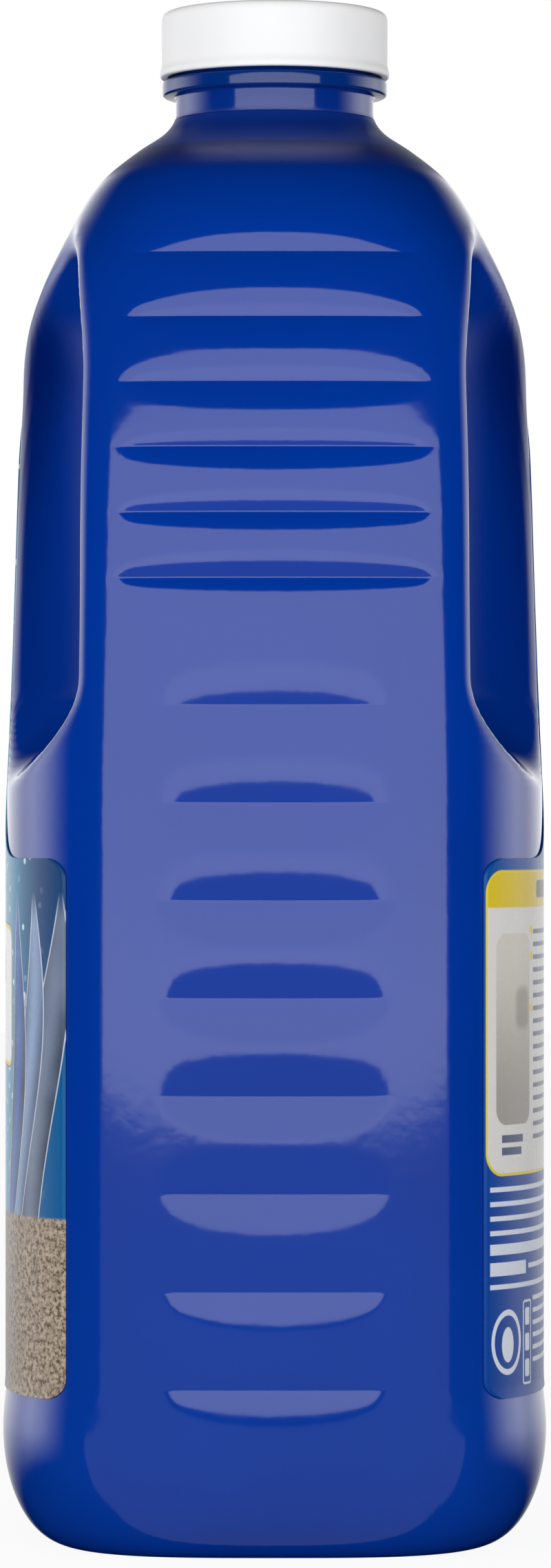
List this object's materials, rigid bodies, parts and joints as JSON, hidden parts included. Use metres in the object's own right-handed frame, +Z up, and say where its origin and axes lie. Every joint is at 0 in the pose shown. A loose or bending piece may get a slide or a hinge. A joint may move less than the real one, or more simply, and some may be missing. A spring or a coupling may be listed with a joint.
{
  "type": "carpet cleaner bottle",
  "caption": "Tall blow-moulded bottle with finger recesses on both broad sides, a grooved grip side, film labels and a screw cap with a foam disc.",
  "frame": {"origin": "middle of the face that the bottle stands on", "axes": "+Z up to the cap, +X out of the grooved grip side, +Y out of the back label, -Y out of the front label"},
  "size_m": [0.1316, 0.1082, 0.3051],
  "materials": {
    "bottle_plastic": "glossy deep blue polyethylene",
    "cap_plastic": "smooth white polypropylene",
    "liner_foam": "matt foam sheet",
    "front_label_film": "printed glossy film",
    "back_label_film": "printed glossy film"
  },
  "bodies": {
    "bottle_body": {"bottle": "bottle_plastic", "front_label": "front_label_film", "back_label": "back_label_film"},
    "lifting_disc": {"cap_liner": "liner_foam"},
    "screw_cap": {"cap": "cap_plastic"}
  },
  "joints": [
    {"name": "cap_lift", "type": "slide", "parent": "bottle_body", "child": "lifting_disc", "axis": [0, 0, 1], "range_m": [0, 0.0127]},
    {"name": "cap_turn", "type": "hinge", "parent": "lifting_disc", "child": "screw_cap", "pos_m": [0, 0, 0.3], "axis": [0, 0, 1], "range_deg": [0, 1080]}
  ],
  "couplings": [
    {"joint": "cap_lift", "follows": "cap_turn", "m_per_rad": 0.0006737}
  ]
}
